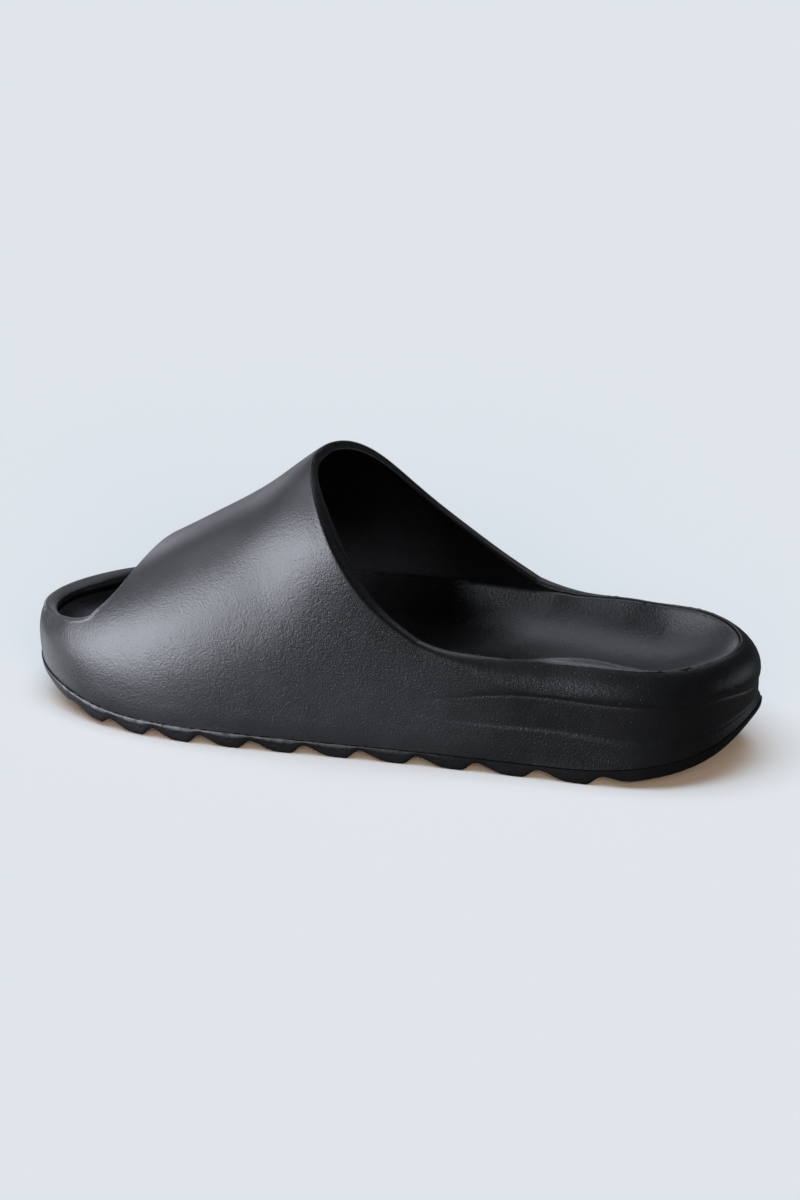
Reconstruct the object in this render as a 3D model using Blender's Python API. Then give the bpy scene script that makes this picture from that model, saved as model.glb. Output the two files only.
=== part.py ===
"""Moulded foam slide sandal for a right foot, standing empty on its sole.

Three pieces: the upper, which is moulded in one with its thick foam sides and heel cup, the insole that
lies in its pocket, and the lugged outsole under it. Design sizes are in millimetres. X runs from the heel's
back to the toe, Y to the wearer's left, which is the inner side of a right foot, and Z up from the floor.
Side 1 is the inner side and side -1 the outer one.
"""

import math

import bmesh
import bpy
import numpy as np

MM = 0.001


def table(columns, rows):
    """Rows of numbers as named columns."""
    return dict(zip(columns.split(), np.array(rows, float).T))


# Driving sizes
LENGTH = 287.0
GAP = 0.3  # between pieces that meet
INSOLE_THICKNESS = 3.5
LUG_DEPTH = 3.7
TREAD_DRAFT = 0.6  # the tread's edge lies this far inside the joint's
OUTSOLE_LIP = 0.4  # how far the outsole stands proud of the upper
TOE_TIP_INWARD = 9.0  # the toe's foremost point lies this far to the inner side
ARCH_FULLNESS = 2.15  # exponent of the sections' arch: 2 is an ellipse, more is squarer
HEEL_PIVOT = 44.0  # upright line that the heel's sections fan round, from the heel's back
TOE_PIVOT = 262.0  # and the toe's

# Half widths of the form at its widest level
OUTLINE = table(
    "from_heel inner outer",
    [
        (12, 27.5, 27.5),
        (30, 38.5, 38.5),
        (60, 42.5, 43.5),
        (105, 46.5, 47.0),
        (150, 51.0, 52.0),
        (190, 55.5, 55.5),
        (222, 56.0, 53.5),
        (250, 50.5, 44.0),
        (270, 40.5, 28.0),
        (282, 28.5, 11.5),
    ],
)

# Joint between upper and outsole: flat under the foot, swept up at both ends
JOINT = table(
    "from_heel height",
    [
        (-4, 27.0),
        (5, 18.6),
        (17, 12.3),
        (32, 8.7),
        (50, 6.2),
        (80, 5.6),
        (120, 5.8),
        (160, 5.9),
        (200, 6.4),
        (228, 6.8),
        (246, 8.2),
        (260, 10.6),
        (274, 14.2),
        (291, 21.0),
    ],
)

# From the joint down to the outsole's tread, and how much of the full depth its grooves have
OUTSOLE = table(
    "from_heel thickness cut",
    [
        (0, 3.0, 0),
        (5, 4.0, 0),
        (12, 4.6, 0.1),
        (30, 5.0, 0.5),
        (48, 6.0, 0.9),
        (62, 6.3, 1),
        (80, 6.1, 1),
        (160, 6.2, 1),
        (200, 6.7, 1),
        (228, 6.5, 1),
        (252, 6.2, 0.5),
        (270, 4.1, 0.2),
        (287, 1.8, 0),
    ],
)

# Crown of the form over each section: the upper's ridge, and beyond it how the low walls would close
CROWN = table(
    "from_heel height ridge",
    [
        (0, 110, 0),
        (60, 130, 0),
        (110, 130, 2),
        (140, 120, 4),
        (165, 110, 5),
        (190, 91.6, 5),
        (215, 76, 5),
        (240, 62, 5),
        (262, 52, 5),
        (287, 50, 4),
    ],
)

# Level at which the walls start to lean in
SHOULDER = table("from_heel height", [(0, 32), (60, 26), (130, 20), (200, 17), (250, 19), (287, 27)])

# Corners of the upper on each side, where its low rims turn up into the edges over the foot
CORNERS = table("side collar front", [(1, 118, 261), (-1, 98, 250)])

# Outer edge of the low rims
HEEL_RIM = table(
    "from_heel inner outer",
    [
        (0, 35.1, 35.1),
        (25, 33.1, 36.5),
        (55, 33.2, 35.6),
        (78, 33.9, 39.8),
        (88, 35.9, 42.8),
        (98, 39.3, 46.0),
        (108, 42.8, 50.3),
        (118, 46.8, 55.9),
    ],
)
TOE_RIM = table(
    "from_heel inner outer",
    [(250, 39.0, 36.4), (262, 36.9, 36.7), (276, 36.5, 36.3), (287, 35.8, 35.8)],
)
# How much higher a low rim's inner edge lies than its outer one, how its rounding's rise changes with that,
# and the run from a corner to that place
LIFT = table("at_toe lift rise run", [(0, 9.8, -0.2, 45), (1, -2.0, 0.0, 15)])

# Edges of the upper over the foot, from the outer corner at -1 over the ridge at 0 to the inner corner at 1
UPPER_EDGES = table(
    "across collar front",
    [
        (-1.0, 98, 250),
        (-0.95, 110, 246.5),
        (-0.87, 125, 243),
        (-0.75, 141, 239.5),
        (-0.5, 158.5, 235.5),
        (-0.25, 167, 234.5),
        (0.0, 170.5, 235),
        (0.25, 168, 236),
        (0.5, 160, 239.2),
        (0.75, 147.5, 245.8),
        (0.87, 138, 250.4),
        (0.95, 127.5, 254.4),
        (1.0, 118, 261),
    ],
)

# Steps moulded round the heel's side, fading out under the foot's arch
LEDGES = table(
    "from_heel lower upper strength",
    [
        (0, 25.4, 31.0, 1.0),
        (5, 22.4, 32.2, 1.0),
        (12, 19.6, 31.7, 1.0),
        (20, 18.0, 31.2, 1.0),
        (35, 17.2, 30.9, 1.0),
        (50, 17.9, 30.9, 1.0),
        (65, 19.0, 31.5, 0.8),
        (86, 19.0, 31.0, 0.45),
        (108, 19.5, 27.5, 0.12),
        (134, 20.5, 25.0, 0.0),
        (200, 20.0, 30.0, 0.0),
        (287, 25.5, 30.5, 0.0),
    ],
)
TIER_STEP = 0.6  # the tier between the ledges lies this far inside the wall above and the tier below
TIER_EDGE = 0.8  # half height of a ledge's turn
UNDERCUT = 1.2  # how far the wall curves in over the upper ledge
UNDERCUT_HEIGHT = 1.2
FLARE = 0.8  # outward lean of the lowest tier at the joint
FLARE_HEIGHT = 3.0  # over which it leans at the least
TUCK = 0.6  # inward turn of the wall over the joint, where it has no tiers
TUCK_HEIGHT = 8.0

# Wall of the upper, and how its rims and edges are rounded
THICKNESS = table(
    "from_heel inner outer",
    [
        (0, 7.5, 7.5),
        (30, 6.5, 7.5),
        (70, 6.0, 6.0),
        (130, 5.0, 5.0),
        (225, 5.0, 5.0),
        (250, 3.8, 6.0),
        (262, 3.0, 6.5),
        (276, 5.0, 7.0),
        (287, 7.0, 7.0),
    ],
)
RIM_RISE = 0.35  # height of a low rim's rounding as a share of the wall
EDGE_RISE = 0.2  # and of the edges' over the foot
EDGE_SLANT = 0.45  # over the foot the inner edge lies further back, as a share of the wall
CORNER_TURN = 5  # how soon past a corner the edges take these up

# Footbed: its height along the middle and at its edge, and how sharply it turns up there
FOOTBED = table(
    "from_heel middle edge sharpness",
    [
        (0, 36.0, 46.0, 2.4),
        (44, 32.5, 46.0, 2.6),
        (90, 32.0, 43.6, 2.8),
        (128, 29.5, 43.2, 3.4),
        (170, 25.0, 40.5, 4.4),
        (220, 21.2, 36.0, 5.5),
        (255, 22.5, 32.0, 5.5),
        (287, 27.0, 32.5, 4.0),
    ],
)
SEAM_BELOW_RIM = 0.3
SUPPORT_HEIGHT = 3.0  # hump under the foot's arch
SUPPORT_AT = 64.0
SUPPORT_LENGTH = 30.0

# Lugs: the groove nearest the toe, and how the spacing grows towards the heel
FIRST_GROOVE = 258.4
FIRST_PITCH = 18.7
PITCH_GROWTH = 1.0272
GROOVES = 11
# One lug from the groove on its toe side to the next one: share of the pitch, share of the depth
LUG = table(
    "run rise",
    [
        (0, 1),
        (0.15, 0.68),
        (0.3, 0.25),
        (0.45, 0.04),
        (0.55, 0),
        (0.72, 0),
        (0.8, 0.25),
        (0.88, 0.7),
        (0.94, 0.92),
        (1, 1),
    ],
)

# Faces
HEEL_COLUMNS = 14
HOOPS = 15
TOE_COLUMNS = 10
ARCH_ROWS = 10
ROUND_ROWS = 6
INNER_ROWS = 3
FLOOR_ROWS = 6
UNDER_ROWS = 7
TREAD_STRIPS = 4
END_STATIONS = 11
EDGE_POINTS = 241
LEDGE_ROWS = [0, 0.5, 1, 1.5, 2, 3, 3.5, 4, 4.5, 5]  # along the marks of wall_heights
JOINT_PASSES = 4  # enough for the wall's lowest edge to settle on the joint's curve
WELD = 1e-6  # metres
SHARP_TURN = math.radians(40)  # faces that meet at more than this are shaded apart

# Foams: dark grey in three shades
SOOT = (0.030, 0.030, 0.033)
SOOT_INSIDE = (0.038, 0.038, 0.041)
SOOT_TREAD = (0.024, 0.024, 0.026)
ROUGH = 0.62
ROUGH_INSIDE = 0.7


def smooth(knots, values, at):
    """A natural cubic curve through the rows of a table, read at the given places."""
    gaps = np.diff(knots)
    slopes = np.diff(values) / gaps
    count = len(knots)
    matrix = np.eye(count)
    right = np.zeros(count)
    for i in range(1, count - 1):
        matrix[i, i - 1 : i + 2] = gaps[i - 1], 2 * (gaps[i - 1] + gaps[i]), gaps[i]
        right[i] = 6 * (slopes[i] - slopes[i - 1])
    bend = np.linalg.solve(matrix, right)
    at = np.clip(at, knots[0], knots[-1])
    i = np.clip(np.searchsorted(knots, at) - 1, 0, count - 2)
    step = at - knots[i]
    first = slopes[i] - gaps[i] * (2 * bend[i] + bend[i + 1]) / 6
    third = (bend[i + 1] - bend[i]) / gaps[i]
    return values[i] + step * first + step**2 * bend[i] / 2 + step**3 * third / 6


def read(rows, column, at):
    """A column of a table at the given places of its first column."""
    return smooth(next(iter(rows.values())), rows[column], at)


def sided(rows, at, side):
    """The inner or the outer column of a table."""
    return np.where(side > 0, read(rows, "inner", at), read(rows, "outer", at))


def corner(side, edge):
    """Where a side's corner lies from the heel's back, at the collar or the front."""
    return np.where(side > 0, *CORNERS[edge])


def turn_of(from_heel, side):
    """Place round the outline: 0 at the heel's back, pi at the toe, on to twice pi along the outer side."""
    turn = np.arccos(np.clip(1 - 2 * np.asarray(from_heel, float) / LENGTH, -1, 1))
    return np.where(side > 0, turn, 2 * math.pi - turn)


def from_heel_at(turn):
    """Distance from the heel's back for a place round the outline."""
    return LENGTH * (1 - np.cos(turn)) / 2


def half_width(x, side):
    """Reach of the form from its middle line, as one closed curve round heel and toe."""
    stations = OUTLINE["from_heel"]
    knots = np.concatenate([[0], turn_of(stations, 1), [math.pi], turn_of(stations, -1)[::-1]])
    across = np.concatenate([[0], OUTLINE["inner"], [TOE_TIP_INWARD], -OUTLINE["outer"][::-1]])
    whole = 2 * math.pi
    knots = np.concatenate([knots - whole, knots, knots + whole])
    return smooth(knots, np.tile(across, 3), turn_of(x, side))


def spokes(x, side):
    """Foot of each section's upright line, its outward direction and its reach."""
    y = half_width(x, side)
    root = np.clip(x, HEEL_PIVOT, TOE_PIVOT)
    reach = np.hypot(x - root, y)
    return root, (x - root) / reach, y / reach, reach


def lean(x, height, wall):
    """Share of a section's reach that is left at a height, and how far up the arch that is."""
    start = read(SHOULDER, "height", x)
    share = np.clip((height - start) / (read(CROWN, "height", x) - wall - start), 0, 1)
    return (1 - share**ARCH_FULLNESS) ** (1 / ARCH_FULLNESS), share


def steps(x, height):
    """How far the moulded tiers, and the wall's turn over the joint, stand out of the plain form."""
    joint = read(JOINT, "height", x)
    lower = read(LEDGES, "lower", x)
    upper = read(LEDGES, "upper", x)
    strength = np.clip(read(LEDGES, "strength", x), 0, 1)
    under_lower, under_upper = [(1 - np.tanh((height - h) / TIER_EDGE)) / 2 for h in (lower, upper)]
    undercut = (1 - under_upper) * np.exp(-np.maximum(height - upper, 0) / UNDERCUT_HEIGHT)
    flare = np.clip((lower - height) / np.maximum(lower - joint, FLARE_HEIGHT), 0, 1)
    tuck = np.clip(1 - (height - joint) / TUCK_HEIGHT, 0, 1) ** 2
    tiered = TIER_STEP * (under_lower - under_upper) - UNDERCUT * undercut + FLARE * flare
    return strength * tiered - (1 - strength) * TUCK * tuck


def wall_point(x, side, height, wall=0.0):
    """A point of the outer surface, or of the inner one where a wall is given."""
    root, along, across, reach = spokes(x, side)
    left, share = lean(x, height, wall)
    out = (reach - wall) * left + np.where(np.asarray(wall) > 0, 0, steps(x, height))
    return np.stack([root + along * out, across * out + read(CROWN, "ridge", x) * share**2, height], -1)


def rim_height(x, side):
    """Height of the low rims' outer edge, and between the corners of the straight line that joins them."""
    collar = corner(side, "collar")
    front = corner(side, "front")
    start = sided(HEEL_RIM, collar, side)
    along = (x - collar) / (front - collar)
    between = start + (sided(TOE_RIM, front, side) - start) * along
    low = np.where(x < collar, sided(HEEL_RIM, x, side), sided(TOE_RIM, x, side))
    return np.where((along >= 0) & (along <= 1), between, low)


def lift_at(x, side, column="lift"):
    """How much higher the inner edge of a low rim lies than the outer one, or how its rounding changes."""
    beyond = np.stack([corner(side, "collar") - x, x - corner(side, "front")], -1)
    share = np.clip(beyond / LIFT["run"], 0, 1)
    return (share**2 * (3 - 2 * share)) @ LIFT[column]


def past_corner(across):
    """How far an edge over the foot has left the low rims behind: 0 at a corner, 1 over the ridge."""
    return 1 - np.abs(across) ** CORNER_TURN


def arch_point(x, arch, side, wall=0.0):
    """A point over the foot, from the line between the corners at arch 0 to the ridge at arch 1."""
    start = read(SHOULDER, "height", x)
    crown = read(CROWN, "height", x) - wall
    low = np.arcsin(((rim_height(x, side) - start) / (crown - start)) ** (ARCH_FULLNESS / 2))
    angle = low + arch * (math.pi / 2 - low)
    share = np.sin(angle) ** (2 / ARCH_FULLNESS)
    height = start + (crown - start) * share
    reach = np.abs(half_width(x, side)) - wall
    out = reach * np.maximum(np.cos(angle), 0) ** (2 / ARCH_FULLNESS)
    out = out + np.where(np.asarray(wall) > 0, 0, steps(x, height) * (1 - arch))
    return np.stack([x, side * out + read(CROWN, "ridge", x) * share**2, height], -1)


def joint_point(x, side):
    """The wall's lowest edge, where it meets the joint's curve."""
    height = read(JOINT, "height", x)
    for _ in range(JOINT_PASSES):
        height = read(JOINT, "height", wall_point(x, side, height)[..., 0])
    return wall_point(x, side, height)


def wall_heights(x, side):
    """Heights of the outer wall's rows, crowded at the ledges."""
    lower = read(LEDGES, "lower", x)
    upper = read(LEDGES, "upper", x)
    joint = joint_point(x, side)[..., 2]
    turns = [ledge + turn for ledge in (lower, upper) for turn in (-TIER_EDGE, TIER_EDGE)]
    marks = np.stack([joint, *turns, rim_height(x, side)])
    rows = np.array(LEDGE_ROWS, float)
    mark = np.minimum(rows.astype(int), len(marks) - 2)
    part = (rows - mark)[:, None]
    return marks[mark] * (1 - part) + marks[mark + 1] * part


def seam_height(x, side):
    """Height of the footbed's edge."""
    rim = rim_height(x, side) + lift_at(x, side)
    return np.minimum(read(FOOTBED, "edge", x), rim - SEAM_BELOW_RIM)


def footbed_height(x, share, side, edge):
    """Height of the footbed's top, at a share of the way from its middle line to its edge."""
    middle = read(FOOTBED, "middle", x)
    dish = (edge - middle) * share ** read(FOOTBED, "sharpness", x)
    highest = 4 / 27  # of share**2 * (1 - share)
    hump = np.exp(-(((x - SUPPORT_AT) / SUPPORT_LENGTH) ** 2)) * share**2 * (1 - share) / highest
    return middle + dish + np.where(side > 0, SUPPORT_HEIGHT * hump, 0)


class Ring:
    """Columns round the shoe, along the inner side from heel to toe and back along the outer side."""

    def __init__(self):
        runs = []
        for side in (1, -1):
            collar = corner(side, "collar")
            front = corner(side, "front")
            heel = np.linspace(0, turn_of(collar, 1), HEEL_COLUMNS + 1)
            toe = np.linspace(turn_of(front, 1), math.pi, TOE_COLUMNS + 1)
            band = np.linspace(collar, front, HOOPS + 1)
            runs.append(np.concatenate([from_heel_at(heel), band[1:-1], from_heel_at(toe)]))
        inner, outer = runs
        middle = np.clip((inner + outer) / 2, HEEL_PIVOT, np.mean(CORNERS["front"]))
        self.x = np.concatenate([inner, outer[-2:0:-1]])
        self.side = np.concatenate([np.ones(len(inner)), -np.ones(len(outer) - 2)])
        self.spine = np.concatenate([middle, middle[-2:0:-1]])
        self.wall = sided(THICKNESS, self.x, self.side)
        self.toe = len(inner) - 1
        self.seam = wall_point(self.x, self.side, seam_height(self.x, self.side), self.wall)

    def inwards(self, edge, shares):
        """Rows in plan from an edge to the spine, and the stations to read heights at."""
        shares = np.array(shares)[:, None]
        x = self.spine + (edge[:, 0] - self.spine) * shares
        return x, edge[:, 1] * shares, shares

    def floor(self, inset, drop, shares):
        """Rows of the footbed, or of the pocket under it, drawn in from the seam and then down."""
        plan = self.seam[:, :2] - np.stack([self.spine, np.zeros_like(self.spine)], -1)
        edge = self.seam.copy()
        edge[:, :2] -= plan * (inset / np.hypot(*plan.T))[:, None]
        x, y, share = self.inwards(edge, shares)
        height = footbed_height(x, share, self.side, self.seam[:, 2]) - drop
        return np.stack([x, y, height], -1)


def rounded(outer, level, inner, rise, up_at):
    """Rows of a rim between the loops of its outer and inner edges, bulged away from the material.

    The level loop is the inner edge before its lift: a lifted rim is one roll from the wall up to its crest.
    """
    wall = outer - level
    along = np.roll(outer + level, -1, 0) - np.roll(outer + level, 1, 0)
    bulge = np.cross(along, wall)
    bulge *= (rise * np.linalg.norm(wall, axis=1) / np.linalg.norm(bulge, axis=1))[:, None]
    bulge *= np.sign(bulge[up_at, 2])
    rows = []
    for turn in np.linspace(0, math.pi, ROUND_ROWS + 1):
        share = (1 - math.cos(turn)) / 2
        rows.append(outer - wall * share + (inner - level) * math.sqrt(share) + bulge * math.sin(turn))
    return np.stack(rows)


def hoop(across, run, inside):
    """Points of the upper over the foot at a share of the run from collar to front."""
    collar = read(UPPER_EDGES, "collar", across)
    x = collar + (read(UPPER_EDGES, "front", across) - collar) * run
    side = np.where(across < 0, -1, 1)
    arch = 1 - np.abs(across)
    if not inside:
        return arch_point(x, arch, side)
    wall = sided(THICKNESS, x, side)
    return arch_point(x - EDGE_SLANT * wall * past_corner(across), arch, side, wall)


class Solid:
    """A mesh put together from grids of points whose shared edges coincide."""

    def __init__(self):
        self.mesh = bmesh.new()

    def grid(self, points, closed=False):
        """Faces between rows of points; a closed grid joins its last column to its first."""
        rows = [[self.mesh.verts.new(p * MM) for p in row] for row in points]
        count = len(rows[0])
        for low, high in zip(rows, rows[1:]):
            for i in range(count if closed else count - 1):
                j = (i + 1) % count
                self.mesh.faces.new((low[i], low[j], high[j], high[i]))

    def finish(self, name, material):
        """Weld the grids and make the object."""
        bmesh.ops.remove_doubles(self.mesh, verts=self.mesh.verts, dist=WELD)
        bmesh.ops.recalc_face_normals(self.mesh, faces=self.mesh.faces)
        mesh = bpy.data.meshes.new(name)
        self.mesh.to_mesh(mesh)
        self.mesh.free()
        mesh.shade_smooth()
        mesh.set_sharp_from_angle(angle=SHARP_TURN)
        mesh.materials.append(material)
        piece = bpy.data.objects.new(name, mesh)
        bpy.context.collection.objects.link(piece)
        return piece


def foam(name, colour, roughness):
    """A matte moulded foam."""
    material = bpy.data.materials.new(name)
    material.use_nodes = True
    shader = material.node_tree.nodes["Principled BSDF"]
    shader.inputs["Base Color"].default_value = (*colour, 1)
    shader.inputs["Roughness"].default_value = roughness
    shader.inputs["Metallic"].default_value = 0.0
    return material


def make_upper(ring):
    """The upper: sides, hood over the foot, rims, pocket for the insole and underside."""
    solid = Solid()
    heights = wall_heights(ring.x, ring.side)
    outer = np.stack([wall_point(ring.x, ring.side, h) for h in heights])
    solid.grid(outer, closed=True)

    across = np.sin(np.linspace(-1, 1, 2 * ARCH_ROWS + 1) * math.pi / 2)
    runs = np.linspace(0, 1, HOOPS + 1)
    hood = np.stack([hoop(across, run, False) for run in runs])
    lining = np.stack([hoop(across, run, True) for run in runs])
    solid.grid(hood)
    solid.grid(lining)

    rim = rim_height(ring.x, ring.side)
    level = wall_point(ring.x, ring.side, rim, ring.wall)
    top = rim + lift_at(ring.x, ring.side)
    shares = np.linspace(0, 1, INNER_ROWS + 1)[:, None]
    drops = top + (ring.seam[:, 2] - top) * shares
    inner = np.stack([wall_point(ring.x, ring.side, h, ring.wall) for h in drops])
    solid.grid(inner, closed=True)

    count = len(ring.x)
    rise = RIM_RISE + (EDGE_RISE - RIM_RISE) * past_corner(across[-2:0:-1])
    heel = np.arange(-HEEL_COLUMNS, HEEL_COLUMNS + 1)
    toe = np.arange(ring.toe - TOE_COLUMNS, ring.toe + TOE_COLUMNS + 1)
    for columns, over, middle in ((heel, 0, HEEL_COLUMNS), (toe[::-1], -1, TOE_COLUMNS)):
        columns = columns % count
        edge = lining[over][-2:0:-1]
        loops = [
            np.concatenate([low[columns], high])
            for low, high in ((outer[-1], hood[over][-2:0:-1]), (level, edge), (inner[0], edge))
        ]
        low = RIM_RISE + lift_at(ring.x[columns], ring.side[columns], "rise")
        rises = np.concatenate([low, rise])
        solid.grid(rounded(*loops, rises, middle), closed=True)

    floor = ring.floor(0, INSOLE_THICKNESS + GAP, np.linspace(1, 0, FLOOR_ROWS + 1))
    solid.grid(np.stack([inner[-1], floor[0]]), closed=True)
    solid.grid(floor, closed=True)

    x, y, _ = ring.inwards(outer[0], np.linspace(1, 0, UNDER_ROWS + 1))
    under = np.stack([x, y, read(JOINT, "height", x)], -1)
    under[0] = outer[0]
    solid.grid(under, closed=True)
    return solid.finish("upper", foam("upper_foam", SOOT, ROUGH))


def make_insole(ring):
    """The insole: a dished layer that lies in the upper's pocket."""
    solid = Solid()
    shares = np.linspace(1, 0, FLOOR_ROWS + 1)
    top = ring.floor(GAP, 0, shares)
    under = ring.floor(GAP, INSOLE_THICKNESS, shares)
    solid.grid(top, closed=True)
    solid.grid(under, closed=True)
    solid.grid(np.stack([top[0], under[0]]), closed=True)
    return solid.finish("insole", foam("insole_foam", SOOT_INSIDE, ROUGH_INSIDE))


def groove_stations():
    """Where the tread's grooves run, from the toe to the heel, with one more beyond each end."""
    pitches = FIRST_PITCH * PITCH_GROWTH ** np.arange(-1, GROOVES)
    return FIRST_GROOVE + pitches[0] - np.concatenate([[0], np.cumsum(pitches)])


def tread_height(x):
    """Height of the tread: the lugs' lowest faces lie on the floor, and the smooth ends sweep up."""
    grooves = groove_stations()
    lug = np.clip(np.searchsorted(-grooves, -x) - 1, 0, GROOVES)
    run = np.clip((grooves[lug] - x) / (grooves[lug] - grooves[lug + 1]), 0, 1)
    lowest = LUG["run"][LUG["rise"] == 0]
    run = np.where(lug == 0, np.maximum(run, lowest[0]), run)
    run = np.where(lug == GROOVES, np.minimum(run, lowest[-1]), run)
    thickness = read(OUTSOLE, "thickness", x)
    depth = LUG_DEPTH * np.clip(read(OUTSOLE, "cut", x), 0, 1)
    foot = np.maximum(read(JOINT, "height", x) - thickness, 0)
    return foot + depth * np.interp(run, LUG["run"], LUG["rise"])


def outsole_edges():
    """The outsole's edge in plan on the inner and the outer side, a lip outside the upper's lowest edge."""
    x = from_heel_at(np.linspace(0, math.pi, EDGE_POINTS))
    inner = joint_point(x, 1)[:, :2]
    outer = joint_point(x, -1)[:, :2]
    loop = np.concatenate([inner, outer[-2:0:-1]])
    along = np.roll(loop, -1, 0) - np.roll(loop, 1, 0)
    along /= np.linalg.norm(along, axis=1)[:, None]
    loop = loop + OUTSOLE_LIP * np.stack([-along[:, 1], along[:, 0]], -1)
    tip = EDGE_POINTS - 1
    return loop[: tip + 1], np.concatenate([loop[:1], loop[:tip - 1 : -1]])


def make_outsole():
    """The outsole: a thin shell under the joint with straight lugs across it."""
    inner, outer = outsole_edges()
    start = inner[0, 0]
    end = inner[-1, 0]
    grooves = groove_stations()
    lugs = [near + (far - near) * LUG["run"][:-1] for near, far in zip(grooves[1:], grooves[2:])]
    heel = start + from_heel_at(np.linspace(0, turn_of(grooves[-1], 1), END_STATIONS))
    toe = end - from_heel_at(np.linspace(0, turn_of(end - grooves[1], 1), END_STATIONS))
    x = np.sort(np.concatenate([heel, toe[:-1], *lugs]))

    left = np.interp(x, *inner.T)
    right = np.interp(x, *outer.T)
    shares = np.linspace(0, 1, TREAD_STRIPS + 1)[:, None]
    top = np.broadcast_to(read(JOINT, "height", x) - GAP, (len(shares), len(x)))
    tread = np.broadcast_to(tread_height(x), (len(shares), len(x)))
    along = np.broadcast_to(x, top.shape)
    upper = np.stack([along, right + (left - right) * shares, top], -1)
    draft = np.minimum(TREAD_DRAFT, (left - right) / 4)
    lower = np.stack([along, right + draft + (left - right - 2 * draft) * shares, tread], -1)

    solid = Solid()
    solid.grid(upper)
    solid.grid(lower)
    solid.grid(np.stack([upper[0], lower[0]]))
    solid.grid(np.stack([upper[-1], lower[-1]]))
    return solid.finish("outsole", foam("outsole_foam", SOOT_TREAD, ROUGH))


def main():
    for old in list(bpy.data.objects):
        bpy.data.objects.remove(old)
    ring = Ring()
    pieces = [make_upper(ring), make_insole(ring), make_outsole()]
    corners = np.array([v.co for piece in pieces for v in piece.data.vertices])
    low = corners.min(0)
    middle = (low + corners.max(0)) / 2
    for piece in pieces:
        piece.location = (-middle[0], -middle[1], -low[2])


if __name__ == "__main__":
    main()
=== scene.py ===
"""Looks of a moulded foam slide sandal for a right foot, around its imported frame.

The shoe's own sizes are in millimetres: from_heel runs along it from the heel's back to the toe. Side 1 is
the inner side, which is the wearer's left and +Y, and side -1 the outer one. Heights are above the floor.
"""

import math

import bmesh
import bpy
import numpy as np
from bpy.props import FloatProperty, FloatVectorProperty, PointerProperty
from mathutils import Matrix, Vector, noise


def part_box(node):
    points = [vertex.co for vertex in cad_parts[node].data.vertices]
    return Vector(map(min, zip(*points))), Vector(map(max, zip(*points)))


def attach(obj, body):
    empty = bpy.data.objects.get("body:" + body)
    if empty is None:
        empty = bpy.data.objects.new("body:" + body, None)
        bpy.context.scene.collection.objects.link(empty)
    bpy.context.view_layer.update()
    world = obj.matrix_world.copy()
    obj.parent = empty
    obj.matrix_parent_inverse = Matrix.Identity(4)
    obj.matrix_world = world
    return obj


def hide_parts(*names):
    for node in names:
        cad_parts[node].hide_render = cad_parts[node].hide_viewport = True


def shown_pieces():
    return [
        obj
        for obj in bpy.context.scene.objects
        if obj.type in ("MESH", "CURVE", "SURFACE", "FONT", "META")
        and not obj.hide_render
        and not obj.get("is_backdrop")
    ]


bl_info = {
    "name": "Moulded Slide",
    "version": (1, 0, 0),
    "blender": (4, 5, 0),
    "location": "View3D > Sidebar > Slide",
    "description": "Makes the upper, insole and outsole of a moulded foam slide and a stage to show it on",
    "category": "Object",
}

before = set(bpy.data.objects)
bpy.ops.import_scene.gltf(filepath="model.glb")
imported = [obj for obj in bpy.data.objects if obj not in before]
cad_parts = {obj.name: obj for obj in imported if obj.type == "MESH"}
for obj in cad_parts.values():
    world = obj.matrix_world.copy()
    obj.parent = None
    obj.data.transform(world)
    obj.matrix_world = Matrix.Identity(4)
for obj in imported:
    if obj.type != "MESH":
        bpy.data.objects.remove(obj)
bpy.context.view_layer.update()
MM = 0.001


def table(columns, rows):
    """Rows of numbers as named columns."""
    return dict(zip(columns.split(), np.array(rows, float).T))


# Form of the last
LAST_LENGTH = 287.0
TOE_TIP_INWARD = 9.0  # the toe's foremost point lies this far to the inner side
ARCH_FULLNESS = 2.15  # exponent of the sections' arch: 2 is an ellipse, more is squarer
HEEL_PIVOT = 44.0  # upright line that the heel's sections fan round
TOE_PIVOT = 262.0  # and the toe's

# Half widths of the form at its widest level
OUTLINE = table(
    "from_heel inner outer",
    [
        (12, 27.5, 27.5),
        (30, 38.5, 38.5),
        (60, 42.5, 43.5),
        (105, 46.5, 47.0),
        (150, 51.0, 52.0),
        (190, 55.5, 55.5),
        (222, 56.0, 53.5),
        (250, 50.5, 44.0),
        (270, 40.5, 28.0),
        (282, 28.5, 11.5),
    ],
)

# Joint between upper and outsole: flat under the foot, swept up at both ends
JOINT = table(
    "from_heel height",
    [
        (-4, 27.0),
        (5, 18.6),
        (17, 12.3),
        (32, 8.7),
        (50, 6.2),
        (80, 5.6),
        (120, 5.8),
        (160, 5.9),
        (200, 6.4),
        (228, 6.8),
        (246, 8.2),
        (260, 10.6),
        (274, 14.2),
        (291, 21.0),
    ],
)
JOINT_PASSES = 4  # enough for the wall's lowest edge to settle on the joint's curve

# From the joint down to the outsole's tread, and how much of the full depth its grooves have
OUTSOLE = table(
    "from_heel thickness cut",
    [
        (0, 3.0, 0),
        (5, 4.0, 0),
        (12, 4.6, 0.1),
        (30, 5.0, 0.5),
        (48, 6.0, 0.9),
        (62, 6.3, 1),
        (80, 6.1, 1),
        (160, 6.2, 1),
        (200, 6.7, 1),
        (228, 6.5, 1),
        (252, 6.2, 0.5),
        (270, 4.1, 0.2),
        (287, 1.8, 0),
    ],
)

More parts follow.
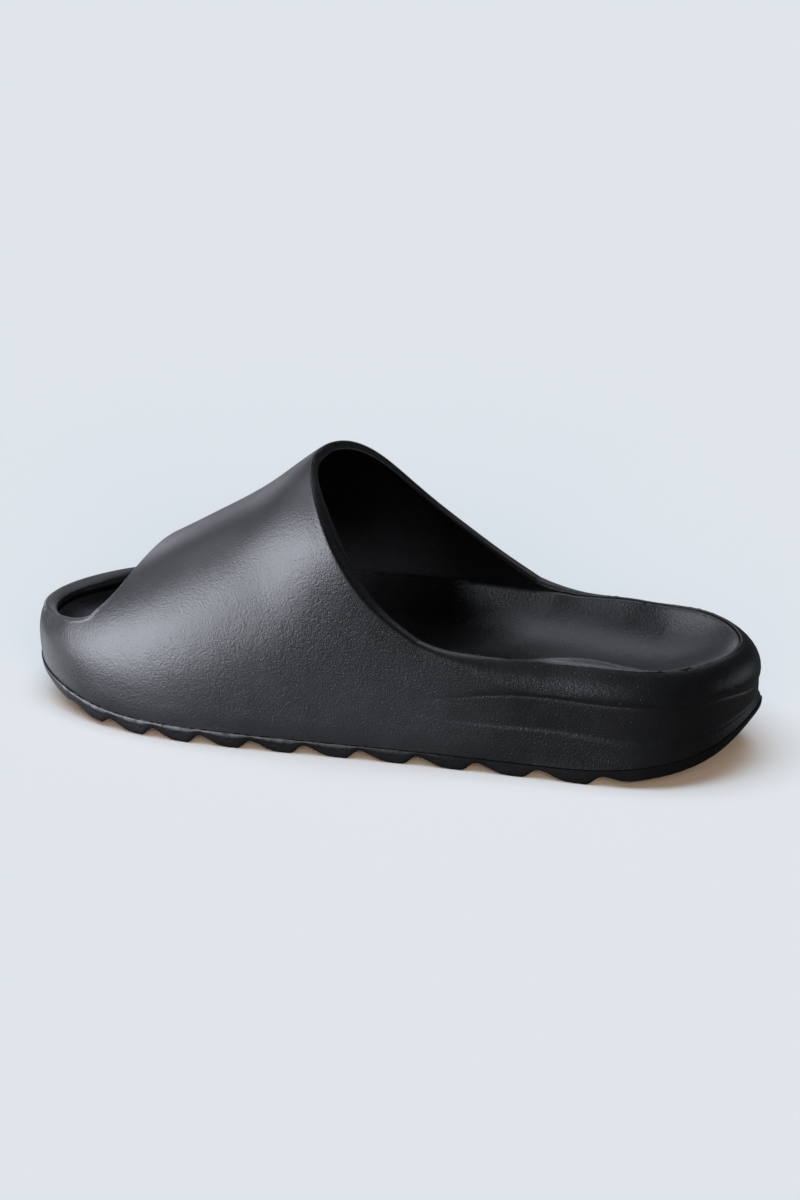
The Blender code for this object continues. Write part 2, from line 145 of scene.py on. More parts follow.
# Crown of the form over each section: the upper's ridge, and beyond it how the low walls would close
CROWN = table(
    "from_heel height ridge",
    [
        (0, 110, 0),
        (60, 130, 0),
        (110, 130, 2),
        (140, 120, 4),
        (165, 110, 5),
        (190, 91.6, 5),
        (215, 76, 5),
        (240, 62, 5),
        (262, 52, 5),
        (287, 50, 4),
    ],
)

# Level at which the walls start to lean in
SHOULDER = table("from_heel height", [(0, 32), (60, 26), (130, 20), (200, 17), (250, 19), (287, 27)])

# Outer edge of the low rims
HEEL_RIM = table(
    "from_heel inner outer",
    [
        (0, 35.1, 35.1),
        (25, 33.1, 36.5),
        (55, 33.2, 35.6),
        (78, 33.9, 39.8),
        (88, 35.9, 42.8),
        (98, 39.3, 46.0),
        (108, 42.8, 50.3),
        (118, 46.8, 55.9),
    ],
)
TOE_RIM = table(
    "from_heel inner outer",
    [(250, 39.0, 36.4), (262, 36.9, 36.7), (276, 36.5, 36.3), (287, 35.8, 35.8)],
)
# How much higher a low rim's inner edge lies than its outer one, how its rounding's rise changes with that,
# and the run from a corner to that place
LIFT = table("at_toe lift rise run", [(0, 9.8, -0.2, 45), (1, -2.0, 0.0, 15)])

# Edges of the upper over the foot, from the outer side at -1 over the ridge at 0 to the inner side at 1. The
# first and last rows are its corners, where the low rims turn up into the edges
UPPER_EDGES = table(
    "across collar front",
    [
        (-1.0, 98, 250),
        (-0.95, 110, 246.5),
        (-0.87, 125, 243),
        (-0.75, 141, 239.5),
        (-0.5, 158.5, 235.5),
        (-0.25, 167, 234.5),
        (0.0, 170.5, 235),
        (0.25, 168, 236),
        (0.5, 160, 239.2),
        (0.75, 147.5, 245.8),
        (0.87, 138, 250.4),
        (0.95, 127.5, 254.4),
        (1.0, 118, 261),
    ],
)

# Steps moulded round the heel's side, fading out under the foot's arch
LEDGES = table(
    "from_heel lower upper strength",
    [
        (0, 25.4, 31.0, 1.0),
        (5, 22.4, 32.2, 1.0),
        (12, 19.6, 31.7, 1.0),
        (20, 18.0, 31.2, 1.0),
        (35, 17.2, 30.9, 1.0),
        (50, 17.9, 30.9, 1.0),
        (65, 19.0, 31.5, 0.8),
        (86, 19.0, 31.0, 0.45),
        (108, 19.5, 27.5, 0.12),
        (134, 20.5, 25.0, 0.0),
        (200, 20.0, 30.0, 0.0),
        (287, 25.5, 30.5, 0.0),
    ],
)
UNDERCUT = 1.2  # how far the wall curves in over the upper ledge
UNDERCUT_HEIGHT = 1.2
FLARE = 0.8  # outward lean of the lowest tier at the joint
FLARE_HEIGHT = 3.0  # over which it leans at the least
TUCK = 0.6  # inward turn of the wall over the joint, where it has no tiers
TUCK_HEIGHT = 8.0

# Soft dents in the outer surface, from the mould, and ridges where the depth is below zero
DENTS = table(
    "side from_heel height length tall depth",
    [
        (1, 273, 35.0, 5.0, 3.0, 1.0),
        (1, 178, 74.0, 14.0, 20.0, 1.6),
        (1, 140, 92.0, 34.0, 26.0, -8.0),
    ],
)

# Wall of the upper, and how its rims and edges are rounded
THICKNESS = table(
    "from_heel inner outer",
    [
        (0, 7.5, 7.5),
        (30, 6.5, 7.5),
        (70, 6.0, 6.0),
        (130, 5.0, 5.0),
        (225, 5.0, 5.0),
        (250, 3.8, 6.0),
        (262, 3.0, 6.5),
        (276, 5.0, 7.0),
        (287, 7.0, 7.0),
    ],
)
RIM_RISE = 0.35  # height of a low rim's rounding as a share of the wall
EDGE_RISE = 0.2  # and of the edges' over the foot
EDGE_SLANT = 0.45  # over the foot the inner edge lies further back, as a share of the wall
CORNER_TURN = 5  # how soon past a corner the edges take these up
RIM_SQUARENESS = 2.2  # exponent of a low rim's profile
EDGE_SQUARENESS = 3.4  # and of the edges' over the foot
PARTING_TURNS = np.radians([148, 80])  # place of the parting line round a low rim and over the foot
PARTING_STEP = 0.12  # angle of one step round the rim, times the rim's mean width
PARTING_REACH = 6  # steps from the line's middle to the plain rim
# The parting line's section in such steps: how deep it is cut, with burrs below zero, and how dark its
# painted shade is
PARTING = table("at cut mark", [(-4, -1, 0), (-2, 0, 0.5), (0, 1, 1), (2, 0, 0.5)])
BURR_LENGTH = 1.7

# Footbed: its height along the middle and at its edge, and how sharply it turns up there
FOOTBED = table(
    "from_heel middle edge sharpness",
    [
        (0, 36.0, 46.0, 2.4),
        (44, 32.5, 46.0, 2.6),
        (90, 32.0, 43.6, 2.8),
        (128, 29.5, 43.2, 3.4),
        (170, 25.0, 40.5, 4.4),
        (220, 21.2, 36.0, 5.5),
        (255, 22.5, 32.0, 5.5),
        (287, 27.0, 32.5, 4.0),
    ],
)
SEAM_BELOW_RIM = 0.3
SUPPORT_HEIGHT = 3.0  # hump under the foot's arch
SUPPORT_AT = 64.0
SUPPORT_LENGTH = 30.0
# Soft crest along the hump, placed along the shoe and as a share of the footbed's half width
CREST_HEIGHT = 2.6
CREST_AT = 58.0
CREST_LENGTH = 26.0
CREST_SHARE = 0.62
CREST_WIDTH = 0.14
# Rounded edge of the insole: in from the seam, and down from the footbed
INSOLE_EDGE = table("inset drop", [(0.0, 0.2), (0.1, 0.08), (0.35, 0.02), (0.8, 0.0)])

# Lugs: the groove nearest the toe, and how the spacing grows towards the heel
FIRST_GROOVE = 258.4
FIRST_PITCH = 18.7
PITCH_GROWTH = 1.0272
GROOVES = 11
# One lug from the groove on its toe side to the next one: share of the pitch, share of the depth
LUG = table(
    "run rise",
    [
        (0, 1),
        (0.15, 0.68),
        (0.3, 0.25),
        (0.45, 0.04),
        (0.55, 0),
        (0.72, 0),
        (0.8, 0.25),
        (0.88, 0.7),
        (0.94, 0.92),
        (1, 1),
    ],
)
LEAST_OUTSOLE = 0.5  # thickness that the tread leaves everywhere
# Outsole's edge from the flash down: share of its height, and how far in from the lip
EDGE_BAND = table("down inset", [(0.3, 0.05), (0.6, 0.12), (0.82, 0.25), (0.94, 0.45), (1.0, 0.9)])
FULL_INSET = 8.0  # distance from the spine from which the edge is drawn in fully
# How much of the flash is left along the joint, on the inner and the outer side: both its fin and the painted
# highlight on it
FLASH = table(
    "from_heel inner outer",
    [
        (0, 0, 0),
        (100, 0, 0),
        (135, 0.35, 0.3),
        (170, 0.6, 0.6),
        (200, 1, 0.9),
        (262, 1, 0.6),
        (272, 0.1, 0),
        (287, 0, 0),
    ],
)
# The flash's section: down from the joint, how far it reaches out, and how pale it is painted, a painted
# highlight where light catches the fin
FIN = table("down out mark", [(0.0, 0.0, 0.6), (0.0, 1.0, 1.0), (0.25, 0.7, 0.8)])
FULL_FIN = 3.0  # thickness of the outsole from which the flash has its full height
# Raggedness of the flash: its mean, how far it swings about that, and over what length
RAGGED_MEAN = 0.75
RAGGED_SWING = 0.5
RAGGED_LENGTH = 2.3

# Clouds in the foam's looks: the size of their lumps in grains, their detail and its roughness
CLOUDS = {
    "mottle": (14, 3.0, 0.5),
    "patches": (60, 2.0, 0.5),
    "grain": (1, 3.0, 0.6),
    "fleck": (2, 1.0, 0.5),
}
# Dots in them: spacing and radius in grains
DOTS = {"pits": (3, 0.5), "specks": (12, 0.5)}
DOT_CORE = 0.6  # share of a dot's radius that is full
PIT_SHARE = 0.4  # of the places for pits that have one
# How much of each goes into the foam's shade, roughness and relief
SHADE_MIX = {"mottle": 0.6, "patches": 0.4}
ROUGH_MIX = {"mottle": 0.08, "patches": 0.06, "specks": 0.1}
RELIEF_MIX = {"grain": 1.0, "fleck": 0.7, "pits": -0.5, "mottle": 0.8, "specks": 0.5}
ROUGH_START = -0.06  # about makes up for the mean of the mix
SHADE_EASE = (0.3, 0.7)  # values of the mix with the darkest and the lightest shade
DARKEST = 0.78  # shades as shares of the foam's colour
LIGHTEST = 1.25
SPECK_COVER = 0.55
# Painted glow low on the front half, for light from the floor: fades out between these heights, and comes in
# between these places along the frame, in metres
GLOW_HEIGHTS = (0.02, 0.055)
GLOW_PLACES = (-0.07, -0.02)
GLOW_LEAST = 0.5  # what the grain adds to
# Flash's painted highlight: breaks in it, in grains, where they begin and end, and what is left in one
BREAK_GRAINS = 3
BREAK_EASE = (0.3, 0.5)
BREAK_LEAST = 0.3
# Parting line's painted shade in its groove: how much of the darker colour shows, and that colour as a share
# of the foam's
LINE_COVER = 0.8
LINE_SHADE = 0.3
OUTSOLE_POLISH = 0.3  # its reflection, less than the other foams have

# Soft boxes that light the shoe alone: bearing from the toe's direction round by the inner side and height,
# both in degrees, distance, the box's width and height in metres, and power
SOFT_BOXES = {
    "key": (45, 10, 0.8, 0.75, 0.55, 17.0),
    "top_back": (280, 50, 1.0, 1.0, 0.6, 2.1),
    "top_toe": (5, 50, 1.0, 0.7, 0.5, 3.9),
    "back": (315, 8, 1.0, 1.2, 0.5, 0.8),
    "heel_back": (200, 5, 1.0, 0.8, 0.4, 0.9),
    "low_toe": (345, -22, 0.8, 0.5, 0.3, 0.73),
    "low_back": (286, 8, 1.0, 0.6, 0.12, 0.35),
    "over_heel": (245, 62, 1.0, 0.5, 0.4, 0.65),
    "back_toe": (325, 4, 1.0, 0.5, 0.2, 0.95),
}
LIT_POINT = (0.03, 0.01, 0.04)  # point that the soft boxes face
# Suns that light the floor alone: bearing, height and spread in degrees, and power
FLOOR_SUNS = {"floor_sky": (60, 78, 60, 2.62), "floor_fill": (112, 14, 50, 3.65)}
FLOOR_RADIUS = 30.0  # metres
FLOOR_SIDES = 96
HORIZON = 0.1  # half height of the change from the floor's glow to the surroundings
AIM = (-0.0026, -0.00045, 0.047)  # point that the camera looks at

# Faces
HEEL_COLUMNS = 96
HOOPS = 72
TOE_COLUMNS = 56
ARCH_ROWS = 44
WALL_ROWS = (12, 8, 12, 8, 16)  # between the marks of wall_heights
LEDGE_SPREAD = 1.6  # rows crowd round a ledge over this many times its turn
RIM_ROWS = 10
INNER_ROWS = 5
FOOTBED_ROWS = 34
HIDDEN_ROWS = 7
LUG_STATIONS = 22
END_STATIONS = 48
WELD = 1e-6  # metres
SHARP_TURN = math.radians(48)


def smooth(knots, values, at):
    """A natural cubic curve through the rows of a table, read at the given places."""
    gaps = np.diff(knots)
    slopes = np.diff(values) / gaps
    count = len(knots)
    matrix = np.eye(count)
    right = np.zeros(count)
    for i in range(1, count - 1):
        matrix[i, i - 1 : i + 2] = gaps[i - 1], 2 * (gaps[i - 1] + gaps[i]), gaps[i]
        right[i] = 6 * (slopes[i] - slopes[i - 1])
    bend = np.linalg.solve(matrix, right)
    at = np.clip(at, knots[0], knots[-1])
    i = np.clip(np.searchsorted(knots, at) - 1, 0, count - 2)
    step = at - knots[i]
    first = slopes[i] - gaps[i] * (2 * bend[i] + bend[i + 1]) / 6
    third = (bend[i + 1] - bend[i]) / gaps[i]
    return values[i] + step * first + step**2 * bend[i] / 2 + step**3 * third / 6


def read(rows, column, at):
    """A column of a table at the given places of its first column."""
    return smooth(next(iter(rows.values())), rows[column], at)


def sided(rows, at, side):
    """The inner or the outer column of a table."""
    return np.where(side > 0, read(rows, "inner", at), read(rows, "outer", at))


def joint_height(x):
    """Height of the joint between upper and outsole."""
    return read(JOINT, "height", x)


def corner(side, edge):
    """Where a side's corner lies from the heel's back, at the collar or the front."""
    return np.where(side > 0, UPPER_EDGES[edge][-1], UPPER_EDGES[edge][0])


def turn_of(from_heel, side):
    """Place round the outline: 0 at the heel's back, pi at the toe, on to twice pi along the outer side."""
    turn = np.arccos(np.clip(1 - 2 * np.asarray(from_heel, float) / LAST_LENGTH, -1, 1))
    return np.where(side > 0, turn, 2 * math.pi - turn)


def from_heel_at(turn):
    """Distance from the heel's back for a place round the outline."""
    return LAST_LENGTH * (1 - np.cos(turn)) / 2


def half_width(x, side):
    """Reach of the form from its middle line, as one closed curve round heel and toe."""
    stations = OUTLINE["from_heel"]
    knots = np.concatenate([[0], turn_of(stations, 1), [math.pi], turn_of(stations, -1)[::-1]])
    across = np.concatenate([[0], OUTLINE["inner"], [TOE_TIP_INWARD], -OUTLINE["outer"][::-1]])
    whole = 2 * math.pi
    knots = np.concatenate([knots - whole, knots, knots + whole])
    return smooth(knots, np.tile(across, 3), turn_of(x, side))


def rim_height(x, side):
    """Height of the low rims' outer edge, and between the corners of the line that joins them."""
    collar = corner(side, "collar")
    front = corner(side, "front")
    start = sided(HEEL_RIM, collar, side)
    along = (x - collar) / (front - collar)
    between = start + (sided(TOE_RIM, front, side) - start) * along
    low = np.where(x < collar, sided(HEEL_RIM, x, side), sided(TOE_RIM, x, side))
    return np.where((along >= 0) & (along <= 1), between, low)


def lift_at(x, side, column="lift"):
    """How much higher the inner edge of a low rim lies than the outer one, or how its rounding changes."""
    beyond = np.stack([corner(side, "collar") - x, x - corner(side, "front")], -1)
    share = np.clip(beyond / LIFT["run"], 0, 1)
    return (share**2 * (3 - 2 * share)) @ LIFT[column]


def past_corner(across):
    """How far an edge over the foot has left the low rims behind: 0 at a corner, 1 over the ridge."""
    return 1 - np.abs(across) ** CORNER_TURN


def seam_height(x, side):
    """Height of the footbed's edge."""
    rim = rim_height(x, side) + lift_at(x, side)
    return np.minimum(read(FOOTBED, "edge", x), rim - SEAM_BELOW_RIM)


def footbed_height(x, share, side, edge):
    """Height of the footbed's top, at a share of the way from its middle line to its edge."""
    middle = read(FOOTBED, "middle", x)
    dish = (edge - middle) * share ** read(FOOTBED, "sharpness", x)
    highest = 4 / 27  # of share**2 * (1 - share)
    hump = np.exp(-(((x - SUPPORT_AT) / SUPPORT_LENGTH) ** 2)) * share**2 * (1 - share) / highest
    away = ((x - CREST_AT) / CREST_LENGTH) ** 2 + ((share - CREST_SHARE) / CREST_WIDTH) ** 2
    return middle + dish + np.where(side > 0, SUPPORT_HEIGHT * hump + CREST_HEIGHT * np.exp(-away), 0)


def groove_stations():
    """Where the tread's grooves run, from the toe to the heel, with one more beyond each end."""
    pitches = FIRST_PITCH * PITCH_GROWTH ** np.arange(-1, GROOVES)
    return FIRST_GROOVE + pitches[0] - np.concatenate([[0], np.cumsum(pitches)])


class Form:
    """Surfaces of the slide, worked out from the last's tables and the user's sizes."""

    def __init__(self, sizes):
        self.gap = sizes.seam_gap / MM
        self.insole = sizes.insole_thickness / MM
        self.lug_depth = sizes.lug_depth / MM
        self.lip = sizes.outsole_lip / MM
        self.step = sizes.ledge_step / MM
        self.turn = sizes.ledge_turn / MM
        self.parting = sizes.parting_depth / MM
        self.flash = sizes.flash_height / MM

    def spokes(self, x, side):
        """Foot of each section's upright line, its outward direction and its reach."""
        y = half_width(x, side)
        root = np.clip(x, HEEL_PIVOT, TOE_PIVOT)
        reach = np.hypot(x - root, y)
        return root, (x - root) / reach, y / reach, reach

    def steps(self, x, side, height):
        """How far tiers, dents and the wall's turn over the joint stand out of the plain form."""
        joint = joint_height(x)
        lower = read(LEDGES, "lower", x)
        upper = read(LEDGES, "upper", x)
        strength = np.clip(read(LEDGES, "strength", x), 0, 1)
        under_lower, under_upper = [(1 - np.tanh((height - h) / self.turn)) / 2 for h in (lower, upper)]
        undercut = (1 - under_upper) * np.exp(-np.maximum(height - upper, 0) / UNDERCUT_HEIGHT)
        flare = np.clip((lower - height) / np.maximum(lower - joint, FLARE_HEIGHT), 0, 1)
        tuck = np.clip(1 - (height - joint) / TUCK_HEIGHT, 0, 1) ** 2
        tiered = self.step * (under_lower - under_upper) - UNDERCUT * undercut + FLARE * flare
        dent = 0
        for at, x0, h0, length, tall, depth in zip(*DENTS.values()):
            spread = ((x - x0) / length) ** 2 + ((height - h0) / tall) ** 2
            dent = dent + np.where(side == at, depth * np.exp(-spread), 0)
        return strength * tiered - (1 - strength) * TUCK * tuck - dent

    def wall_point(self, x, side, height, wall=None):
        """A point of the outer surface, or of the inner one where a wall is given."""
        root, along, across, reach = self.spokes(x, side)
        inwards = 0 if wall is None else wall
        start = read(SHOULDER, "height", x)
        share = np.clip((height - start) / (read(CROWN, "height", x) - inwards - start), 0, 1)
        out = (reach - inwards) * (1 - share**ARCH_FULLNESS) ** (1 / ARCH_FULLNESS)
        if wall is None:
            out = out + self.steps(x, side, height)
        y = across * out + read(CROWN, "ridge", x) * share**2
        return np.stack([root + along * out, y, height], -1)

    def arch_point(self, x, arch, side, wall=None):
        """A point over the foot, from the line between the corners at arch 0 to the ridge at arch 1."""
        inwards = 0 if wall is None else wall
        start = read(SHOULDER, "height", x)
        crown = read(CROWN, "height", x) - inwards
        low = np.arcsin(((rim_height(x, side) - start) / (crown - start)) ** (ARCH_FULLNESS / 2))
        angle = low + arch * (math.pi / 2 - low)
        share = np.sin(angle) ** (2 / ARCH_FULLNESS)
        height = start + (crown - start) * share
        out = (np.abs(half_width(x, side)) - inwards) * np.maximum(np.cos(angle), 0) ** (2 / ARCH_FULLNESS)
        if wall is None:
            out = out + self.steps(x, side, height) * (1 - arch)
        return np.stack([x, side * out + read(CROWN, "ridge", x) * share**2, height], -1)

    def joint_point(self, x, side):
        """The wall's lowest edge, where it meets the joint's curve."""
        height = joint_height(x)
        for _ in range(JOINT_PASSES):
            height = joint_height(self.wall_point(x, side, height)[..., 0])
        return self.wall_point(x, side, height)

    def wall_heights(self, x, side):
        """Heights of the outer wall's rows, crowded at the ledges."""
        ledges = [read(LEDGES, name, x) for name in ("lower", "upper")]
        crowd = LEDGE_SPREAD * self.turn
        turns = [ledge + turn for ledge in ledges for turn in (-crowd, crowd)]
        marks = [self.joint_point(x, side)[..., 2], *turns, rim_height(x, side)]
        rows = [marks[0]]
        for low, high, count in zip(marks, marks[1:], WALL_ROWS):
            rows += [low + (high - low) * i / count for i in range(1, count + 1)]
        return rows

    def hoop(self, across, run, inside):
        """Points of the upper over the foot at a share of the run from collar to front."""
        collar = read(UPPER_EDGES, "collar", across)
        x = collar + (read(UPPER_EDGES, "front", across) - collar) * run
        side = np.where(across < 0, -1, 1)
        arch = 1 - np.abs(across)
        if not inside:
            return self.arch_point(x, arch, side)
        wall = sided(THICKNESS, x, side)
        return self.arch_point(x - EDGE_SLANT * wall * past_corner(across), arch, side, wall)

    def outsole_top(self, x):
        """Height of the outsole's top, a gap below the joint."""
        return joint_height(x) - self.gap

    def tread_height(self, x):
        """Height of the tread: the lugs' lowest faces lie on the floor, and the smooth ends sweep up."""
        grooves = groove_stations()
        lug = np.clip(np.searchsorted(-grooves, -x) - 1, 0, GROOVES)
        run = np.clip((grooves[lug] - x) / (grooves[lug] - grooves[lug + 1]), 0, 1)
        lowest = LUG["run"][LUG["rise"] == 0]
        run = np.where(lug == 0, np.maximum(run, lowest[0]), run)
        run = np.where(lug == GROOVES, np.minimum(run, lowest[-1]), run)
        thickness = read(OUTSOLE, "thickness", x)
        depth = self.lug_depth * np.clip(read(OUTSOLE, "cut", x), 0, 1)
        foot = np.maximum(joint_height(x) - thickness, 0)
        tread = foot + depth * np.clip(read(LUG, "rise", run), 0, 1)
        return np.minimum(tread, self.outsole_top(x) - LEAST_OUTSOLE)

    def outsole_edge(self, ring):
        """The outsole's edge in plan, a lip outside the upper's lowest edge, and its outward direction."""
        loop = self.joint_point(ring.x, ring.side)[:, :2]
        along = np.roll(loop, -1, 0) - np.roll(loop, 1, 0)
        along /= np.linalg.norm(along, axis=1)[:, None]
        outwards = np.stack([-along[:, 1], along[:, 0]], -1)
        return loop + self.lip * outwards, outwards


class Ring:
    """Columns round the shoe, along the inner side from heel to toe and back along the outer side."""

    def __init__(self, inner, outer, spine):
        self.x = np.concatenate([inner, outer[-2:0:-1]])
        self.side = np.concatenate([np.ones(len(inner)), -np.ones(len(outer) - 2)])
        self.spine = np.concatenate([spine, spine[-2:0:-1]])
        self.tip = len(inner) - 1

    def inwards(self, edge, shares):
        """Rows in plan from an edge to the spine, with the shares that are left."""
        shares = np.array(shares)[:, None]
        return self.spine + (edge[:, 0] - self.spine) * shares, edge[:, 1] * shares, shares

    def sheet(self, loop, height):
        """Rows from a loop in to the spine, at the height that a function gives along the shoe."""
        x, y, _ = self.inwards(loop, np.linspace(1, 0, HIDDEN_ROWS))
        rows = np.stack([x, y, height(x)], -1)
        rows[0] = loop
        return rows

    def inset(self, edge, amount):
        """An edge in plan, drawn in towards the spine."""
        plan = edge[:, :2] - np.stack([self.spine, np.zeros_like(self.spine)], -1)
        return edge[:, :2] - plan * (amount / np.hypot(*plan.T))[:, None]


def upper_ring():
    """Columns of the upper and the insole: heel, the stretch between the corners, toe."""
    runs = []
    for side in (1, -1):
        collar = corner(side, "collar")
        front = corner(side, "front")
        heel = from_heel_at(np.linspace(0, turn_of(collar, 1), HEEL_COLUMNS + 1))
        band = np.linspace(collar, front, HOOPS + 1)
        toe = from_heel_at(np.linspace(turn_of(front, 1), math.pi, TOE_COLUMNS + 1))
        runs.append(np.concatenate([heel, band[1:-1], toe]))
    inner, outer = runs
    foremost = np.mean([corner(side, "front") for side in (1, -1)])
    return Ring(inner, outer, np.clip((inner + outer) / 2, HEEL_PIVOT, foremost))


def outsole_ring():
    """Columns of the outsole: alike on both sides, crowded at its ends and along its lugs."""
    grooves = groove_stations()
    runs = np.linspace(0, 1, LUG_STATIONS + 1)[:-1]
    lugs = [near + (far - near) * runs for near, far in zip(grooves[1:], grooves[2:])]
    heel = from_heel_at(np.linspace(0, turn_of(grooves[-1], 1), END_STATIONS))
    toe = from_heel_at(np.linspace(turn_of(grooves[1], 1), math.pi, END_STATIONS))
    x = np.sort(np.concatenate([heel, *lugs, toe[1:]]))
    return Ring(x, x, np.clip(x, HEEL_PIVOT, TOE_PIVOT))


def floor_rows(form, ring, inset, drop, shares):
    """Rows of the footbed, or of the pocket under it, drawn in from the seam and then down."""
    wall = sided(THICKNESS, ring.x, ring.side)
    seam = form.wall_point(ring.x, ring.side, seam_height(ring.x, ring.side), wall)
    edge = np.column_stack([ring.inset(seam, inset), seam[:, 2]])
    x, y, share = ring.inwards(edge, shares)
    return np.stack([x, y, footbed_height(x, share, ring.side, seam[:, 2]) - drop], -1)


def rim_rows(form, outer, level, inner, rises, over, up_at):
    """Rows of a rim between its outer and inner edges, bulged away from the material, with the parting line.

    The level loop is the inner edge before its lift, rises say how high each column bulges as a share of the
    wall, over says how far it has left the low rims, and up_at is a column that bulges upwards.
    """
    wall = outer - level
    width = np.linalg.norm(wall, axis=1)
    along = np.roll(outer + level, -1, 0) - np.roll(outer + level, 1, 0)
    bulge = np.cross(along, wall)
    bulge *= (rises * width / np.linalg.norm(bulge, axis=1))[:, None]
    bulge *= np.sign(bulge[up_at, 2])
    power = 2 / (RIM_SQUARENESS + (EDGE_SQUARENESS - RIM_SQUARENESS) * over)
    burrs = np.array([max(noise.noise(Vector(p) / BURR_LENGTH), 0) ** 2 for p in outer])
    step = PARTING_STEP / width.mean()
    parting = PARTING_TURNS[0] + (PARTING_TURNS[1] - PARTING_TURNS[0]) * over
    before = parting - PARTING_REACH * step
    after = math.pi - parting - PARTING_REACH * step
    profile = [(share * before, 0, 0) for share in np.linspace(0, 1, RIM_ROWS)]
    profile += [(parting + at * step, cut, mark) for at, cut, mark in zip(*PARTING.values())]
    profile += [(math.pi - share * after, 0, 0) for share in np.linspace(1, 0, RIM_ROWS)]
    rows = []
    marks = []
    for turn, cut, mark in profile:
        lie = np.sign(np.cos(turn)) * np.abs(np.cos(turn)) ** power
        share = ((1 - lie) / 2)[:, None]
        point = outer - wall * share + (inner - level) * np.sqrt(share)
        point = point + bulge * (np.maximum(np.sin(turn), 0) ** power)[:, None]
        sunk = form.parting * cut if cut >= 0 else cut * burrs
        rows.append(point - bulge * (sunk / np.linalg.norm(bulge, axis=1))[:, None])
        # Marks for the parting line's painted shade
        marks.append(np.full(len(width), mark))
    return np.stack(rows), np.stack(marks)


class Shell:
    """A mesh put together from grids of points whose shared edges coincide, with marks for the finishes."""

    def __init__(self, *marks):
        self.mesh = bmesh.new()
        self.marks = {name: self.mesh.verts.layers.float.new(name) for name in marks}

    def grid(self, points, closed=False, **marks):
        """Faces between rows of points; a closed grid joins its last column to its first."""
        rows = [[self.mesh.verts.new(p * MM) for p in row] for row in points]
        for name, values in marks.items():
            values = np.broadcast_to(values, points.shape[:2])
            for row, row_values in zip(rows, values):
                for vertex, value in zip(row, row_values):
                    vertex[self.marks[name]] = value
        count = len(rows[0])
        for low, high in zip(rows, rows[1:]):
            for i in range(count if closed else count - 1):
                j = (i + 1) % count
                self.mesh.faces.new((low[i], low[j], high[j], high[i]))

    def weld(self):
        """Join the grids, and stop where they leave a gap."""
        bmesh.ops.remove_doubles(self.mesh, verts=self.mesh.verts, dist=WELD)
        bmesh.ops.recalc_face_normals(self.mesh, faces=self.mesh.faces)
        if any(not edge.is_manifold for edge in self.mesh.edges):
            raise RuntimeError("the grids of a piece leave a gap")

    def uneven(self, name, wave, depth):
        """Push the marked skin in and out by slow waves, as foam comes out of its mould."""
        self.mesh.normal_update()
        for vertex in self.mesh.verts:
            amount = vertex[self.marks[name]] * depth * noise.noise(vertex.co / wave)
            vertex.co += vertex.normal * amount

    def finish(self, name, material, shift):
        """Make the object, put it in the frame and have it ride on the shoe."""
        mesh = bpy.data.meshes.new(name)
        self.mesh.to_mesh(mesh)
        self.mesh.free()
        mesh.transform(shift)
        mesh.shade_smooth()
        mesh.set_sharp_from_angle(angle=SHARP_TURN)
        mesh.materials.append(material)
        piece = bpy.data.objects.new(name, mesh)
        bpy.context.scene.collection.objects.link(piece)
        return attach(piece, "root")


def in_frame(form):
    """The move from the shoe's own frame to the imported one, whose origin is under the middle of its box."""
    edge, _ = form.outsole_edge(outsole_ring())
    own = (edge.min(0) + edge.max(0)) / 2 * MM
    low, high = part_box("outsole")
    packed = (low + high) / 2
    return Matrix.Translation((packed.x - own[0], packed.y - own[1], 0))


class Paint:
    """A socket of a node tree: arithmetic on it adds Math nodes, and any other node comes from node()."""

    def __init__(self, tree, socket=None):
        self.tree = tree
        self.socket = socket

    def feed(self, target, value):
        """Link a socket to another one, or set its value."""
        if isinstance(value, Paint):
            self.tree.links.new(value.socket, target)
        else:
            target.default_value = value

    def node(self, kind, settings=None, sockets=None, output=0):
        """Add a node: its settings are set first, then the values or links of its sockets."""
        made = self.tree.nodes.new(kind)
        for name, value in (settings or {}).items():
            setattr(made, name, value)
        for name, value in (sockets or {}).items():
            self.feed(made.inputs[name], value)
        return Paint(self.tree, made.outputs[output])

    def maths(self, operation, first, second):
        """A Math node on two values."""
        return self.node("ShaderNodeMath", {"operation": operation}, {0: first, 1: second})

    def __add__(self, other):
        return self.maths("ADD", self, other)

    def __rsub__(self, other):
        return self.maths("SUBTRACT", other, self)

    def __mul__(self, other):
        return self.maths("MULTIPLY", self, other)

    def __gt__(self, other):
        return self.maths("GREATER_THAN", self, other)

    __radd__ = __add__
    __rmul__ = __mul__

    def mix(self, share, first, second):
        """A colour between two others: the node's colours are sockets 6 and 7 and output 2."""
        return self.node("ShaderNodeMix", {"data_type": "RGBA"}, {0: share, 6: first, 7: second}, 2)

    def ease(self, low, high):
        """0 below low, 1 above high, and smooth between them."""
        limits = {"Value": self, "From Min": low, "From Max": high}
        return self.node("ShaderNodeMapRange", {"interpolation_type": "SMOOTHSTEP"}, limits)

    def cloud(self, place, size, detail=2.0, rough=0.5):
        """Noise whose lumps are about as large as the size, in metres."""
        sockets = {"Vector": place, "Scale": 1 / size, "Detail": detail, "Roughness": rough}
        return self.node("ShaderNodeTexNoise", None, sockets)

    def dots(self, place, spacing, radius, share):
        """Round specks at a spacing and radius in metres; the share says how many cells have one."""
        sockets = {"Vector": place, "Scale": 1 / spacing}
        far = self.node("ShaderNodeTexVoronoi", None, sockets, "Distance")
        shade = self.node("ShaderNodeTexVoronoi", None, sockets, "Color")
        chance = self.node("ShaderNodeSeparateColor", None, {"Color": shade}, "Red")
        reach = radius / spacing
        return (1 - far.ease(DOT_CORE * reach, reach)) * (chance > 1 - share)


def opaque(colour, share=1.0):
    """A colour, or a darker or lighter one, with full alpha."""
    return [share * value for value in colour] + [1.0]


def blend(looks, mix):
    """Sum of some looks, each times its share."""
    return sum(share * looks[name] for name, share in mix.items())


